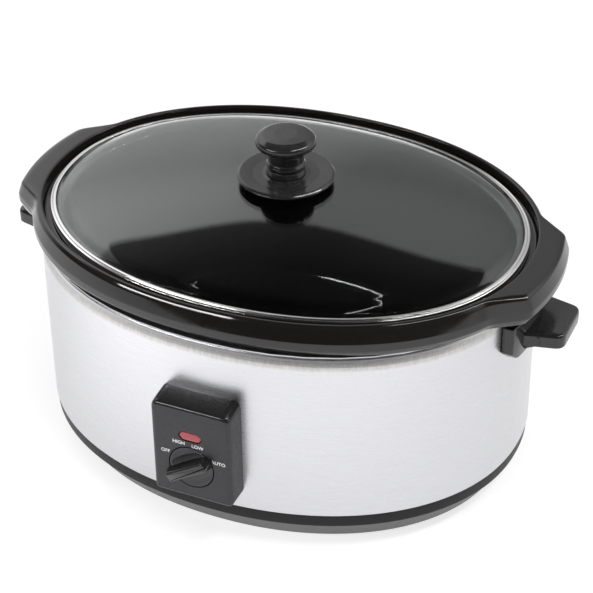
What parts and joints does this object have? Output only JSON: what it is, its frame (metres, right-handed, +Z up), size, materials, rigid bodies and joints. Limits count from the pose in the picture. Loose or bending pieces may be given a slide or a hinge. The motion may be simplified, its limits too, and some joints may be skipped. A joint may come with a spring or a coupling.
{
  "type": "slow cooker",
  "caption": "Oval slow cooker: brushed steel casing, black lift-out crock, glass lid with knob, side handles and a front dial panel.",
  "frame": {"origin": "centre of the bounding box in plan, at table level under the feet", "axes": "+X along the long axis of the oval to the right-hand handle as seen from the front, +Y to the back, +Z up; the control panel faces -Y"},
  "size_m": [0.436, 0.3252, 0.2516],
  "materials": {
    "outer_casing": "satin",
    "base_plastic": "satin",
    "plain_steel": "plain",
    "foot_rubber": "matt",
    "wool": "mineral wool",
    "white_ceramic": "matt",
    "dark_plastic": "matt",
    "earth_brass": "plain",
    "brown_lead": "satin sleeve",
    "blue_lead": "satin sleeve",
    "phenolic": "gloss black moulding",
    "panel_plastic": "satin charcoal with a gloss top edge",
    "red_lens": "clear red",
    "crock_glaze": "gloss black glaze",
    "lid_glass": "clear toughened glass",
    "lid_steel": "polished steel"
  },
  "bodies": {
    "root": {"outer_casing": "outer_casing", "base_housing": "base_plastic", "base_plate": "plain_steel", "foot_1": "foot_rubber", "foot_2": "foot_rubber", "foot_3": "foot_rubber", "foot_4": "foot_rubber", "foot_screw_1": "plain_steel", "foot_screw_2": "plain_steel", "foot_screw_3": "plain_steel", "foot_screw_4": "plain_steel", "heating_well": "plain_steel", "heater_band": "plain_steel", "wool_wrap": "wool", "heater_terminal": "white_ceramic", "well_stud": "plain_steel", "stud_nut": "plain_steel", "thermostat": "dark_plastic", "thermal_fuse": "white_ceramic", "terminal_block": "white_ceramic", "earth_screw": "earth_brass", "cord_gland": "foot_rubber", "switch_lead": "brown_lead", "heater_lead": "blue_lead", "right_handle": "phenolic", "right_handle_screw_1": "plain_steel", "right_handle_screw_2": "plain_steel", "left_handle": "phenolic", "left_handle_screw_1": "plain_steel", "left_handle_screw_2": "plain_steel", "control_panel": "panel_plastic", "panel_screw_1": "plain_steel", "panel_screw_2": "plain_steel", "indicator_lens": "red_lens", "lamp_holder": "white_ceramic", "switch_body": "dark_plastic", "switch_nut": "plain_steel"},
    "crock": {"crock": "crock_glaze"},
    "lid": {"lid_glass": "lid_glass", "lid_band": "lid_steel", "lid_seal": "foot_rubber", "knob_skirt": "phenolic", "lid_knob": "phenolic", "clamp_washer": "plain_steel", "lid_screw": "plain_steel"},
    "selector": {"selector_knob": "phenolic", "selector_shaft": "plain_steel"}
  },
  "joints": [
    {"name": "crock_lift", "type": "slide", "parent": "root", "child": "crock", "axis": [0, 0, 1], "range_m": [0, 0.18]},
    {"name": "lid_lift", "type": "slide", "parent": "crock", "child": "lid", "axis": [0, 0, 1], "range_m": [0, 0.1]},
    {"name": "selector_turn", "type": "hinge", "parent": "root", "child": "selector", "pos_m": [0, -0.1554, 0.0734], "axis": [0, -1, 0], "range_deg": [0, 122]}
  ]
}
